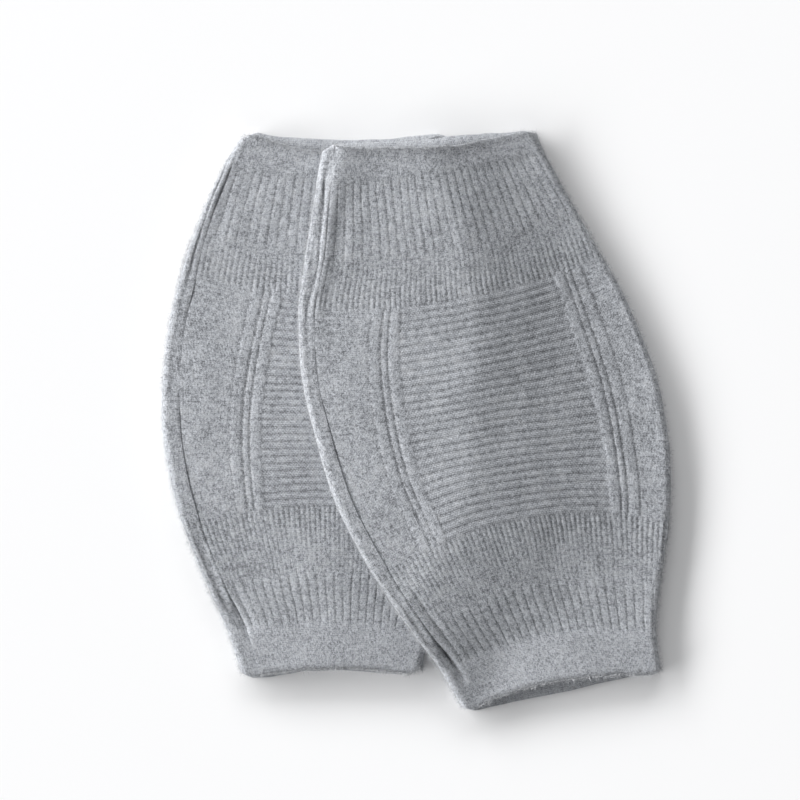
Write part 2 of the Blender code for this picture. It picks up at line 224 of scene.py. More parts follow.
def outward(lies, course, arc):
    """The surface's outward directions."""
    low, high = np.maximum(course - NUDGE, 0.0), np.minimum(course + NUDGE, LENGTH)
    round_it = bare(lies, course, arc + NUDGE) - bare(lies, course, arc - NUDGE)
    down_it = bare(lies, high, arc) - bare(lies, low, arc)
    found = np.cross(down_it, round_it)
    return found / np.linalg.norm(found, axis=-1, keepdims=True)


# %% [markdown]
# ## Unevenness
#
# Nothing knitted is exact. Ribs wander, ridges swell and sink, and the cloth keeps soft hills from how it
# was handled. All of this comes from one function: a seeded grid of random numbers, smoothly joined, so
# that every run gives the same cloth.

# %% Random hills
HILL_TABLE = 64  # after this many hills they repeat
HILL_SHIFT = 1000.0  # keeps places on the table positive


def hills(x, y, size, seed):
    """Smooth random hills from -1 to 1, about size across."""
    table = np.random.default_rng(seed).uniform(-1, 1, (HILL_TABLE, HILL_TABLE))
    gx, gy = x / size + HILL_SHIFT, y / size + HILL_SHIFT
    ix, iy = np.floor(gx).astype(int), np.floor(gy).astype(int)
    fx, fy = smooth(gx - ix), smooth(gy - iy)
    ix, iy = ix % HILL_TABLE, iy % HILL_TABLE
    jx, jy = (ix + 1) % HILL_TABLE, (iy + 1) % HILL_TABLE
    low = table[ix, iy] * (1 - fx) + table[jx, iy] * fx
    high = table[ix, jy] * (1 - fx) + table[jx, jy] * fx
    return low * (1 - fy) + high * fy


Hills = namedtuple("Hills", "amount across size seed")  # across is a panel's width on the hills' map
WANDER = (Hills(0.45, 120, 20, 0), Hills(0.10, 150, 7, 1))  # how far a rib strays sideways, in mm
SWAY = (Hills(0.60, 150, 24, 5), Hills(0.12, 150, 8, 6))  # and a ridge along the tube


def stray(table, share, course, seed):
    """The sum of several kinds of hills."""
    return sum(h.amount * hills(share * h.across, course, h.size, seed + h.seed) for h in table)


# %% [markdown]
# ## Ribs, ridges and hems
#
# The relief is a height over the bare surface, for every course and every share of the way across a
# panel. A rib is a round-topped bar with a narrow groove, which is what knit and purl columns make when
# they are let lie. The knee has a panel of cross ridges, each a few purl rows, between two frames of
# upright ribs. Modelling the relief as geometry lets it cast real shadows; on top of that, its grooves
# are painted darker and its crests lighter, as painted shade and light.

# %% Bands and relief
Band = namedtuple("Band", "name end ribs crest")
BANDS = (
    Band("top hem", 17.0, 0, 0.5),
    Band("top cuff", 55.0, 31, 0.19),
    Band("top yoke", 82.0, 60, 0.13),
    Band("knee", 192.0, 0, 0.3),
    Band("lower yoke", 226.0, 60, 0.13),
    Band("lower cuff", 253.0, 28, 0.23),
    Band("lower hem", LENGTH, 0, 0.5),
)
KNEE_TOP, KNEE_END = BANDS[2].end, BANDS[3].end
SIDES = {  # plain share of the front's width outside the frame, at the knee's top, middle and end
    "left": ((0.165, 0.145, 0.118), (0.145, 0.160, 0.158)),
    "right": ((0.176, 0.126, 0.114), (0.145, 0.160, 0.158)),
}
FRAME_SHARE = 0.092  # the width of the upright ribs beside the panel, as a share of the front's
FRAME_GROOVES = (0.0, 0.42, 0.63, 1.0)  # over the frame's width, from the plain side to the panel
FRAME_CREST = 0.36
CORD_EXTRA = 0.35  # the rib next to the panel stands higher
RIDGES = 29
RIDGE_CREST = 0.18
PLAIN_CREST = 0.15  # of the knee's plain sides
BAND_SOFT, PANEL_SOFT = 1.2, 0.006  # how softly a band begins, in mm, and the panel, as a share of the width
BEYOND = 9.0  # the hems' bands run this far past the cloth, so that they don't fade at its edge

# How square the tops of the ribs and the ridges are.
CUFF_SHARP, YOKE_SHARP, FRAME_SHARP, RIDGE_SHARP = 4.0, 2.2, 4.0, 2.0

# A yoke's ribs are drawn deepest beside the knee, and fade out over this distance.
YOKE_FADE, YOKE_LEAST, YOKE_MORE = 24.0, 0.55, 0.95

# Painted shade and light: a groove is painted darker and a crest lighter, around these means of the
# bars, and the lower hem is painted lighter.
PLAIN_TONE, KNEE_TONE, LOWER_HEM_TONE = 0.8, 0.02, 0.25
BAR_MEAN, FRAME_MEAN, CORD_MEAN, RIDGE_MEAN = 0.85, 0.85, 0.15, 0.87
FRAME_TONE, RIDGE_TONE = 1.2, 0.8


def inside_band(course, start, end, soft):
    """1 inside a band and 0 outside it, with soft ends."""
    return smooth((course - start) / soft + 0.5) * smooth((end - course) / soft + 0.5)


def bar(phase, sharp):
    """A row of round-topped bars with grooves at the whole numbers, from 0 to 1."""
    return 1 - np.abs(2 * np.mod(phase, 1.0) - 1) ** sharp


def side_share(shares, course):
    """The plain share at a course, on a parabola through the three that are given."""
    top, middle, end = shares
    t = np.clip((course - KNEE_TOP) / (KNEE_END - KNEE_TOP), 0, 1)
    return top * (1 - t) * (1 - 2 * t) + middle * 4 * t * (1 - t) + end * t * (2 * t - 1)


def knee_relief(side, course, share, swell, even):
    """The height of the front's knee, its painted shade and light, and where its ridged panel is."""
    left = side_share(SIDES[side][0], course)
    right = 1 - side_share(SIDES[side][1], course)
    panel_left, panel_right = left + FRAME_SHARE, right - FRAME_SHARE
    panel = inside_band(share, panel_left, panel_right, PANEL_SOFT)
    frame_left = inside_band(share, left, panel_left, PANEL_SOFT)
    frame_right = inside_band(share, panel_right, right, PANEL_SOFT)
    frames = frame_left + frame_right
    across = frame_left * (share - left) / FRAME_SHARE + frame_right * (right - share) / FRAME_SHARE
    rib = np.interp(across, FRAME_GROOVES, np.arange(len(FRAME_GROOVES)))
    cord = smooth(rib - len(FRAME_GROOVES) + 2.5)
    upright = frames * bar(rib, FRAME_SHARP)
    down = np.clip((course - KNEE_TOP) / (KNEE_END - KNEE_TOP), 0, 1)
    ridges = bar(down * RIDGES, RIDGE_SHARP)
    plain = 1 - np.clip(panel + frames, 0, 1)
    height = plain * PLAIN_CREST + upright * FRAME_CREST * (1 + CORD_EXTRA * cord) * swell
    height += panel * ridges * RIDGE_CREST * swell
    painted_shading = plain * KNEE_TONE + (upright - frames * (FRAME_MEAN - CORD_MEAN * cord)) * FRAME_TONE
    painted_shading += panel * (ridges - RIDGE_MEAN) * even * RIDGE_TONE
    return height, painted_shading, panel


def relief(side, course, share, is_front, seed):
    """Height in mm over the bare surface, its painted shade and light, and where the purl side shows."""
    height = np.zeros_like(course)
    painted_shading = np.full_like(course, PLAIN_TONE)
    purl = np.zeros_like(course)
    swell = 1 + 0.25 * hills(share * 30, course / 22, 1.3, seed + 2)
    fade = np.clip(0.75 + 0.55 * hills(share * 45, course / 8, 1.2, seed + 12), 0.25, 1.2)
    even = np.clip(0.95 + 0.2 * hills(share * 40, course / 8, 1.2, seed + 13), 0.7, 1.2)
    start = -BEYOND
    for band in BANDS:
        mask = inside_band(course, start, band.end if band.end < LENGTH else LENGTH + BEYOND, BAND_SOFT)
        if band.ribs:
            is_cuff = "cuff" in band.name
            bars = bar(share * band.ribs, CUFF_SHARP if is_cuff else YOKE_SHARP)
            near_knee = smooth(1 - np.minimum(abs(course - KNEE_TOP), abs(course - KNEE_END)) / YOKE_FADE)
            drawn = 1.0 if is_cuff else YOKE_LEAST + YOKE_MORE * near_knee
            height += mask * bars * band.crest * drawn * swell
            painted_shading += mask * (bars - BAR_MEAN) * fade * drawn
        elif band.name == "knee" and is_front:
            knee_height, knee_painted_shading, panel = knee_relief(side, course, share, swell, even)
            height += mask * knee_height
            painted_shading += mask * knee_painted_shading
            purl += mask * panel
        else:
            height += mask * band.crest
            painted_shading += mask * LOWER_HEM_TONE * (band.name == "lower hem")
        start = band.end
    return height, painted_shading, purl


# %% [markdown]
# ## Creases
#
# The main creases are listed, each as a soft trough or a soft ridge along a line on the cloth.
# A line is given by its two ends, each as a course and a distance from the left fold. A ridge is a crease
# whose depth is negative.

# %% Creases
Crease = namedtuple("Crease", "course_a arc_a course_b arc_b width depth")
CREASES = {
    "left": (
        Crease(196.0, 7.0, 246.0, 7.5, 1.6, 0.7),
        Crease(228.0, 14.0, 252.0, 15.0, 1.8, 0.6),
        Crease(236.0, 10.0, 256.0, 10.5, 1.6, 1.5),
        Crease(20.0, 9.0, 60.0, 13.0, 4.0, 0.4),
        Crease(90.0, 22.0, 180.0, 24.0, 12.0, -0.5),
    ),
    "right": (
        Crease(22.0, 17.0, 58.0, 18.0, 5.0, 0.9),
        Crease(58.0, 16.0, 96.0, 17.0, 5.0, 0.5),
        Crease(236.0, 8.2, 262.0, 8.6, 1.7, 2.0),
        Crease(200.0, 5.0, 240.0, 5.2, 1.3, 0.7),
        Crease(205.0, 13.5, 250.0, 13.0, 1.5, 0.6),
        Crease(95.0, 28.0, 180.0, 26.0, 12.0, -0.5),
        Crease(60.0, 60.0, 86.0, 96.0, 9.0, 0.35),
        Crease(196.0, 96.0, 236.0, 70.0, 10.0, 0.35),
    ),
}


def creased(side, course, arc):
    """How far the creases push the cloth in, in mm."""
    depth = np.zeros_like(course)
    for c in CREASES[side]:
        run, drift = c.course_b - c.course_a, c.arc_b - c.arc_a
        reach = (course - c.course_a) * run + (arc - c.arc_a) * drift
        t = np.clip(reach / (run * run + drift * drift), 0, 1)
        away = np.hypot(course - c.course_a - t * run, arc - c.arc_a - t * drift)
        depth += c.depth * np.exp(-((away / c.width) ** 2)) * np.sin(math.pi * np.clip(t, 0.02, 0.98)) ** 0.6
    return depth


# %% [markdown]
# ## Building a panel
#
# Each panel, front or back, is one closed shell: a fine outer grid with the relief, a coarse plain inner
# grid, and four rims that join them. A solidified sheet would carry the relief through to the inside,
# which is plain. Rows are close together where the cross ridges are and further apart elsewhere.

# %% Grids
SEAM_GAP, INNER_SEAM_GAP = 0.02, 1.2  # between front and back: wider inside, where a fold closes it
ROWS_PER_RIDGE = 7
ROW_STEP = 1.75  # elsewhere
FRONT_COLUMNS = 301  # about ten steps for each rib of a cuff, five for each rib of a yoke
BACK_STRIP_COLUMNS = 52
BACK_UNDER_COLUMNS = 110
INNER_ROWS, INNER_COLUMNS = 56, 34
STRIP = 24.0  # how much of the back, before its second seam, comes up round the fold
WALES = 120  # columns of stitches across a panel
COURSE_STEP = 0.95  # the height of a stitch
EDGE_ROWS = (0.0, 0.3, 0.8, 1.5)  # rows that round a hem's edge off, by their distance from it
# Painted shade: the inside of the tube is a little darker.
INSIDE_PAINTED_SHADE = 0.75


def course_rows(is_front):
    """The courses of the grid's rows."""
    rows = list(EDGE_ROWS)
    start = rows[-1]
    knee_rows = RIDGES * ROWS_PER_RIDGE if is_front else int((KNEE_END - KNEE_TOP) / ROW_STEP)
    for end, count in (
        (KNEE_TOP, round((KNEE_TOP - start) / ROW_STEP)),
        (KNEE_END, knee_rows),
        (LENGTH - EDGE_ROWS[-1], round((LENGTH - EDGE_ROWS[-1] - KNEE_END) / ROW_STEP)),
    ):
        rows += [start + (end - start) * (k + 1) / count for k in range(count)]
        start = end
    return np.array(rows + [LENGTH - r for r in EDGE_ROWS[-2::-1]])


# %% [markdown]
# ## The hems' edges
#
# A soft tube's mouth isn't cut square. It is shorter at the folds, it waves a little, and one layer draws
# back from the other, so that the inside shows. All of this slides the cloth along the tube, a little way
# in from the edge.

# %% Hems
# How the hems' edges aren't straight, in mm.
CORNER, CORNER_WIDTH, CORNER_REACH = 3.2, 9.0, 6.0  # a hem is shorter at the folds, with this width and depth
HEM_WAVE, HEM_SEEDS = 0.8, {"left": 100, "right": 200}
MOUTH_REACH = 8.0  # a layer that draws back takes this much of the cloth along
MOUTH = {"left": 0.4, "right": 1.5}  # how far the lower hem's top layer draws back between the folds
BACK_MOUTH = {"left": (3.6, 1.0), "right": (1.6, 0.45)}  # and its underside, and a skew to the right fold
TOP_MOUTH = {"left": 3.2, "right": 0.6}  # and the top hem's top layer


def hem_pull(side, course, arc, half):
    """How far the cloth near a hem draws back: its corners are round and its edge isn't quite even."""
    share = np.mod(arc, 2 * half) / half  # 0 to 1 over the top, and 1 to 2 underneath
    from_fold = np.minimum(np.mod(arc, half), half - np.mod(arc, half))
    corner = CORNER * (1 - smooth(from_fold / CORNER_WIDTH)) ** 1.5
    free = smooth(np.minimum(share, 2 - share) * half / 12)
    depth, skew = BACK_MOUTH[side]
    over = np.where(share < 1, np.sin(math.pi * np.clip(share, 0, 1)) ** 2, 0)
    under = np.where(share < 1, 0, depth * np.sin(math.pi * np.clip(share - 1, 0, 1) ** skew) ** 2)
    near_top, near_end = np.exp(-course / MOUTH_REACH), np.exp((course - LENGTH) / MOUTH_REACH)
    shift = over * (TOP_MOUTH[side] * near_top - MOUTH[side] * near_end) - under * near_end
    for seed, from_hem, sign in ((3, course, 1), (4, LENGTH - course, -1)):
        seed += HEM_SEEDS[side]
        wave = 0.7 * hills(arc, 0 * arc, 17, seed) + 0.3 * hills(arc, 0 * arc, 6, seed + 10) + 1
        shift += sign * (corner + HEM_WAVE * free * wave) * np.exp(-from_hem / CORNER_REACH)
    return shift


# %% [markdown]
# ## Seams, and the points of a panel
#
# The linked seam pulls the two panels in, more in some places than in others, and a hem's edge is round.
# Underneath, the cloth's own weight presses its relief flat. Everything is added up as one height over
# the bare surface, and each point moves by it along the surface's outward direction.

# %% Seams and points
# How the cloth dips at the seams and the edges, each with the width of the dip.
SEAM_DIP, SEAM_WIDTH, SEAM_SEEDS = 0.24, 1.6, {"left": 61, "right": 62}
EDGE_DIP, EDGE_WIDTH = 0.9, 1.8
GROOVE_DIP, GROOVE_WIDTH = 0.55, 0.7  # a groove in the back's strip
GROOVE_FROM_SEAM, GROOVE_START, GROOVE_END = 3.4, 8.0, 96.0


def laid_arc(lies, is_front, course, shares, gap):
    """The arc at each share across a panel, and half the way round the tube there."""
    half = half_round(lies, course)
    start = between(lies, course, "seam") + (0 if is_front else half) + gap / 2
    return start + shares * (half - gap), half


def edge_relief(side, is_front, course, share, half, seed):
    """Height added at the seams, the hems' edges and the strip's groove, and their painted shade and light.
    """
    edge_distance = np.minimum(course, LENGTH - course)
    seam_distance = np.minimum(share, 1 - share) * half
    drawn = np.clip(0.45 + 0.7 * hills(0 * course, course, 8, SEAM_SEEDS[side]), 0.05, 1.0)
    height = -EDGE_DIP * (1 - np.clip(edge_distance / EDGE_WIDTH, 0, 1)) ** 2
    height -= SEAM_DIP * drawn * (1 - np.clip(seam_distance / SEAM_WIDTH, 0, 1)) ** 2
    # Painted highlight along a hem's edge, and painted shade in the seam's dip.
    painted_shading = 0.12 * np.exp(-((edge_distance / 1.6) ** 2)) - 0.4 * drawn * np.exp(-(seam_distance**2))
    if not is_front:
        shown = smooth((course - GROOVE_START) / 12) * smooth((GROOVE_END - course) / 20)
        aside = (1 - share) * half - GROOVE_FROM_SEAM - 0.5 * hills(share, course, 14, seed + 3)
        groove = shown * np.exp(-((aside / GROOVE_WIDTH) ** 2))
        height -= GROOVE_DIP * groove
        # Painted shade in the groove.
        painted_shading -= 0.45 * groove
    return height, painted_shading


PANEL_SEEDS = {"left": 11, "right": 31}
SOFT_HILLS = ((0.35, 30, 8), (0.16, 9, 9), (0.035, 1.8, 10))  # height, size and seed of the cloth's own hills
HIGHEST = 1.5  # no relief stands higher
PRESSED = 0.4  # underneath, this share of the relief is left, and its crests lie on the table


def panel_points(side, is_front, courses, shares, inner):
    """Grid points in millimetres, with the relief's painted shade and light and the purl mask."""
    lies = LIES[side]
    course = np.repeat(courses[:, None], shares.shape[1], 1)
    gap = INNER_SEAM_GAP if inner else SEAM_GAP
    arc, half = laid_arc(lies, is_front, course, shares, gap)
    pull = hem_pull(side, course, arc, half)
    arc, half = laid_arc(lies, is_front, course + pull, shares, gap)
    if inner:
        return bare(lies, course + pull, arc) - outward(lies, course + pull, arc) * WALL, None, None
    seed = PANEL_SEEDS[side] + (0 if is_front else 7)
    height, painted_shading, purl = relief(side, course, shares, is_front, seed)
    held = smooth(np.minimum(shares, 1 - shares) * half / 6) * smooth(np.minimum(course, LENGTH - course) / 8)
    arc = arc + held * stray(WANDER, shares, course, seed)
    course = course + held * stray(SWAY, shares, course, seed)
    edge_height, edge_painted_shading = edge_relief(side, is_front, course, shares, half, seed)
    height += edge_height - creased(side, course, arc if is_front else arc - 2 * half)
    for high, size, more in SOFT_HILLS:
        height += high * hills(arc, course, size, seed + more)
    above_rest = np.clip(section(arc, half - (math.pi - 2) * FOLD_RADIUS, 0 * arc)[1] / FOLD_RADIUS, 0, 1)
    laid = np.minimum(height - HIGHEST, 0.0) * PRESSED
    height = height * above_rest + laid * (1 - above_rest)
    points = bare(lies, course + pull, arc) + outward(lies, course + pull, arc) * height[..., None]
    return points, painted_shading + edge_painted_shading, purl


def grid_shares(side, is_front, courses):
    """Shares across a panel: even on a front, and close together on a back's strip."""
    lies = LIES[side]
    if is_front:
        return np.repeat(np.linspace(0, 1, FRONT_COLUMNS)[None, :], len(courses), 0)
    strip = 1 - STRIP / half_round(lies, courses)
    under = np.linspace(0, 1, BACK_UNDER_COLUMNS, endpoint=False)[None, :] * strip[:, None]
    up = strip[:, None] + np.linspace(0, 1, BACK_STRIP_COLUMNS)[None, :] * (1 - strip[:, None])
    return np.concatenate([under, up], 1)


# %% [markdown]
# ## The meshes
#
# A mesh made of lists of points and faces is quicker than one that operators build, and it lets the shell
# be closed exactly. It also carries what the yarn's material needs: a UV map that counts stitches, and
# two attributes, the relief's painted shade and light, and where the purl side shows.

# %% Meshes
def zipper(first, second):
    """Triangles between two runs of point numbers."""
    faces = []
    i = j = 0
    while i < len(first) - 1 or j < len(second) - 1:
        if i == len(first) - 1:
            step_first = False
        elif j == len(second) - 1:
            step_first = True
        else:
            step_first = (i + 1) / (len(first) - 1) < (j + 1) / (len(second) - 1)
        if step_first:
            faces.append((first[i], first[i + 1], second[j]))
            i += 1
        else:
            faces.append((first[i], second[j + 1], second[j]))
            j += 1
    return faces


def quads(grid):
    """The faces between the rows and the columns of a grid of point numbers."""
    corners = [grid[:-1, :-1], grid[:-1, 1:], grid[1:, 1:], grid[1:, :-1]]
    return np.stack(corners, -1).reshape(-1, 4).tolist()


def shell_faces(outer, inner):
    """The faces of a closed shell between two grids of point numbers."""
    faces = quads(outer) + [tuple(reversed(f)) for f in quads(inner)]
    for a, b in (
        (outer[0], inner[0]),
        (outer[:, -1], inner[:, -1]),
        (outer[-1, ::-1], inner[-1, ::-1]),
        (outer[::-1, 0], inner[::-1, 0]),
    ):
        faces += [tuple(reversed(f)) for f in zipper(list(map(int, a)), list(map(int, b)))]
    return faces


def in_metres(points):
    """Points of the plan in millimetres, as a list of places in the scene."""
    return ((points.reshape(-1, 3) - np.array([*CENTRE, 0.0])) * MM).tolist()


def new_piece(name, places, faces):
    """An object of its own in the scene."""
    data = bpy.data.meshes.new(name)
    data.from_pydata(places, [], faces)
    piece = bpy.data.objects.new(name, data)
    bpy.context.scene.collection.objects.link(piece)
    return piece


def triangle_count(data):
    return sum(len(p.vertices) - 2 for p in data.polygons)


def count_stitches(data, grids):
    """The UV map, which counts stitches across and down from grids of shares and courses."""
    wales = np.concatenate([(shares * WALES).ravel() for shares, _ in grids])
    steps = np.concatenate([
        np.repeat(courses[:, None] / COURSE_STEP, shares.shape[1], 1).ravel() for shares, courses in grids])
    loops = np.zeros(len(data.loops), int)
    data.loops.foreach_get("vertex_index", loops)
    uv = data.uv_layers.new(name="stitches")
    uv.data.foreach_set("uv", np.stack([wales[loops], steps[loops]], -1).astype(np.float32).ravel())


def close_seams(data, seams):
    """Points the faces outwards, and lets light fall over a seam as if the cloth's face ran on."""
    mesh = bmesh.new()
    mesh.from_mesh(data)
    bmesh.ops.recalc_face_normals(mesh, faces=mesh.faces)
    mesh.verts.ensure_lookup_table()
    for column in seams:
        for a, b in zip(column[:-1], column[1:]):
            mesh.edges.get((mesh.verts[a], mesh.verts[b])).smooth = False
    mesh.to_mesh(data)
    mesh.free()


# %% Panels
def build_panel(name, side, is_front):
    """One closed shell of cloth."""
    courses = course_rows(is_front)
    shares = grid_shares(side, is_front, courses)
    outer, painted_shading, purl = panel_points(side, is_front, courses, shares, inner=False)
    inner_courses = np.linspace(0, LENGTH, INNER_ROWS)
    inner_shares = np.repeat(np.linspace(0, 1, INNER_COLUMNS)[None, :], INNER_ROWS, 0)
    inner, _, _ = panel_points(side, is_front, inner_courses, inner_shares, inner=True)
    first = np.arange(shares.size).reshape(shares.shape)
    second = np.arange(inner_shares.size).reshape(inner_shares.shape) + shares.size
    places = in_metres(outer) + in_metres(inner)
    piece = new_piece(name, places, shell_faces(first, second))
    data = piece.data
    count_stitches(data, ((shares, courses), (inner_shares, inner_courses)))
    for key, values, inside in (("painted_shading", painted_shading, INSIDE_PAINTED_SHADE), ("purl", purl, 1.0)):
        layer = data.attributes.new(key, "FLOAT", "POINT")
        whole = np.concatenate([values.ravel(), np.full(inner_shares.size, inside)])
        layer.data.foreach_set("value", whole.astype(np.float32))
    data.shade_smooth()
    close_seams(data, (first[:, 0], first[:, -1]))
    low = min(v.co.z for v in data.vertices) / MM
    print(name, triangle_count(data), "triangles, lowest point", round(low, 2), "mm")
    return piece


panels = {}
for side in ("left", "right"):
    for face in ("front", "back"):
        panels[side, face] = build_panel(f"{side}_{face}_cloth", side, face == "front")

# %% [markdown]
# ## The yarn
#
# Heather yarn is spun from dyed and undyed fibres, so its grey is made of light and dark flecks, drawn
# out along the stitches. The material counts stitches with the UV map: a knit stitch is a V of two
# legs, and a purl stitch is a small arc. Both are a bump, because a stitch is about a millimetre
# wide and there are tens of thousands, and shade is painted into the gaps between them. The relief's
# painted shade and light darken its grooves and lighten its crests. A wrapper class turns sockets into
# values that Python can add and multiply.

# %% Shader helper
class Value:
    """A number socket that adds its own Math nodes."""

    def __init__(self, finish, socket):
        self.finish, self.socket = finish, socket

    def _math(self, operation, *values, clamp=False):
        settings = {"operation": operation, "use_clamp": clamp}
        return self.finish.node("ShaderNodeMath", settings, {i: v for i, v in enumerate(values)})

    def __add__(self, other): return self._math("ADD", self, other)
    def __radd__(self, other): return self._math("ADD", other, self)
    def __sub__(self, other): return self._math("SUBTRACT", self, other)
    def __rsub__(self, other): return self._math("SUBTRACT", other, self)
    def __mul__(self, other): return self._math("MULTIPLY", self, other)
    def __rmul__(self, other): return self._math("MULTIPLY", other, self)
    def __pow__(self, other): return self._math("POWER", self, other)
    def __abs__(self): return self._math("ABSOLUTE", self)
    def fract(self): return self._math("FRACT", self)
    def floor(self): return self._math("FLOOR", self)
    def clamped(self): return self._math("ADD", self, 0.0, clamp=True)


class Finish:
    """A material under construction."""

    def __init__(self, name):
        self.material = bpy.data.materials.new(name)
        self.material.use_nodes = True
        self.tree = self.material.node_tree
        self.shader = self.tree.nodes["Principled BSDF"]

    def node(self, kind, settings=None, inputs=None, output=0):
        made = self.tree.nodes.new(kind)
        for key, value in (settings or {}).items():
            setattr(made, key, value)
        for key, value in (inputs or {}).items():
            self.feed(made.inputs[key], value)
        return Value(self, made.outputs[output])

    def feed(self, socket, value):
        if isinstance(value, Value):
            self.tree.links.new(value.socket, socket)
        else:
            socket.default_value = value


# %% The knit's finish
LIGHT_FIBRE = (0.515, 0.536, 0.574, 1.0)
DARK_FIBRE = (0.124, 0.129, 0.140, 1.0)
WARM_FIBRE = (0.37, 0.36, 0.345, 1.0)


def knit_finish(name):
    """The heather yarn, knitted."""
    f = Finish(name)
    uv = f.node("ShaderNodeUVMap", {"uv_map": "stitches"})
    split = f.node("ShaderNodeSeparateXYZ", inputs={0: uv})
    wale, course = split, Value(f, split.socket.node.outputs[1])
    painted_shading = f.node("ShaderNodeAttribute", {"attribute_name": "painted_shading"}, output=2)
    purl = f.node("ShaderNodeAttribute", {"attribute_name": "purl"}, output=2)

    # A stitch: the two legs of a V on the knit side, and an arc on the purl side.
    leg = abs(wale.fract() - 0.5) * 2
    rise = (course + leg * 0.55).fract()
    knit = (1 - (leg * 2 - 1) ** 2) * (1 - (rise * 2 - 1) ** 2)
    across = (wale + course.floor() * 0.5).fract() * 2 - 1
    arch = (course.fract() + across * across * 0.3).fract() * 2 - 1
    bead = (1 - across ** 2) * (1 - arch ** 2)
    stitch = knit * (1 - purl) + bead * purl

    def flecks(stretch_wale, stretch_course, scale, detail=2.0):
        at = f.node("ShaderNodeCombineXYZ", inputs={0: wale * stretch_wale, 1: course * stretch_course})
        return f.node(
            "ShaderNodeTexNoise", {"noise_dimensions": "2D"},
            {"Vector": at, "Scale": scale, "Detail": detail, "Roughness": 0.6})

    # Flecks along the stitches on the knit side and across them on the purl side, and larger patches.
    along = flecks(1.0, 0.5, 1.9)
    crossways = flecks(0.55, 1.0, 1.7)
    fleck = along * (1 - purl) + crossways * purl
    lump = flecks(1.0, 0.75, 0.75)
    patch = flecks(1.0, 0.8, 0.28, 3.0)
    place = f.node("ShaderNodeTexCoord", output=3)
    cloud = f.node("ShaderNodeTexNoise", inputs={"Vector": place, "Scale": 45.0, "Detail": 2.0})
    fibre = f.node("ShaderNodeTexNoise", inputs={"Vector": place, "Scale": 2300.0, "Detail": 2.0})

    # The share of light fibres: each kind of fleck adds or takes some, a purl stitch less than a knit one.
    # Painted shade and light from the relief: darker in grooves, seams and the tube's inside, lighter on
    # crests.
    depth = (painted_shading * 1.1).clamped()
    mix = (fleck - 0.5) * (1.45 - purl * 0.5) + (lump - 0.5) * (1.15 - purl * 0.3)
    mix = mix + (patch - 0.5) * (0.8 - purl * 0.25) + (cloud - 0.5) * 0.4
    # The stitch term also paints shade into the gaps between the stitches.
    mix = mix + (fibre - 0.5) * 1.2 + (stitch - 0.45) * 0.36 + (depth - 0.85) * 0.4 + 0.54
    grey = f.node("ShaderNodeMix", {"data_type": "RGBA"}, {
        "Factor": mix.clamped(), 6: DARK_FIBRE, 7: LIGHT_FIBRE}, output=2)
    warmth = ((patch - 0.5) * 1.6 + (cloud - 0.5) * 0.8).clamped() * 0.35
    colour = f.node("ShaderNodeMix", {"data_type": "RGBA"}, {
        "Factor": warmth, 6: grey, 7: WARM_FIBRE}, output=2)
    f.feed(f.shader.inputs["Base Color"], colour)
    bump = f.node("ShaderNodeBump", inputs={
        "Strength": 0.45, "Distance": 0.0003, "Height": stitch * 0.6 + fleck * 0.5 + fibre * 0.35})
    f.feed(f.shader.inputs["Normal"], bump)
    f.shader.inputs["Roughness"].default_value = 0.95
    f.shader.inputs["Specular IOR Level"].default_value = 0.2
    f.shader.inputs["Sheen Weight"].default_value = 0.25
    f.shader.inputs["Sheen Roughness"].default_value = 0.6
    return f.material


knit = knit_finish("heather_knit")
for piece in panels.values():
    piece.data.materials.append(knit)

# %% [markdown]
# ## The nap
#
# Brushed wool has loose fibres that stand off the yarn and soften its outline. A hair system could grow
# them, but hair isn't exported, so each fibre is a tiny three-sided prism in two bent lengths, and all
# fibres of a warmer are one mesh. The longest ones are under four millimetres. A fibre is drawn thicker
# than a real one, because far fewer of them have to give the same softness.

# %% Nap
NAP_FIBRES = {"front": 4900, "back": 1100, "fold": 5300, "hem": 2600}
NAP_LENGTH = (1.0, 3.6)
NAP_RISE = {"front": (0.1, 0.8), "back": (0.1, 0.8), "fold": (0.35, 1.2), "hem": (0.3, 1.1)}  # radians
NAP_RADIUS = 0.048
NAP_TAPER = (1.0, 0.9, 0.4)  # of the radius, at the root, the bend and the tip
NAP_SIDES = 3
NAP_ROOT_HEIGHT = 0.2  # over the bare surface
NAP_LOWEST = 0.05  # no fibre goes into the table
NEAR_HEM = 1.2  # the mean distance of a hem's fibres from its edge
NEAR_FOLD = (-3.0, 5.0)  # where a fold's fibres grow: from under it to over it
LEFT_FOLD_SHARE = 0.55
BACK_SHOWN = 0.17  # the share of a back that comes up round the fold


def nap_roots(side, where, count, rng):
    """Where loose fibres grow: all over the top, or close to the folds or the hems."""
    lies = LIES[side]
    course = rng.uniform(0.2, LENGTH - 0.2, count)
    if where == "hem":
        near = rng.exponential(NEAR_HEM, count)
        course = np.where(rng.uniform(size=count) < 0.5, near, LENGTH - near)
        course = np.clip(course, 0.05, LENGTH - 0.05)
    half = half_round(lies, course)
    seam = between(lies, course, "seam")
    if where == "back":
        return lies, course, half, seam + half + (1 - rng.uniform(0, BACK_SHOWN, count)) * half
    if where == "fold":
        side_fold = np.where(rng.uniform(size=count) < LEFT_FOLD_SHARE, 0.0, half)
        inwards = np.where(side_fold > 0, -1, 1)
        return lies, course, half, side_fold + rng.uniform(*NEAR_FOLD, count) * inwards
    return lies, course, half, seam + rng.uniform(0, 1, count) * half


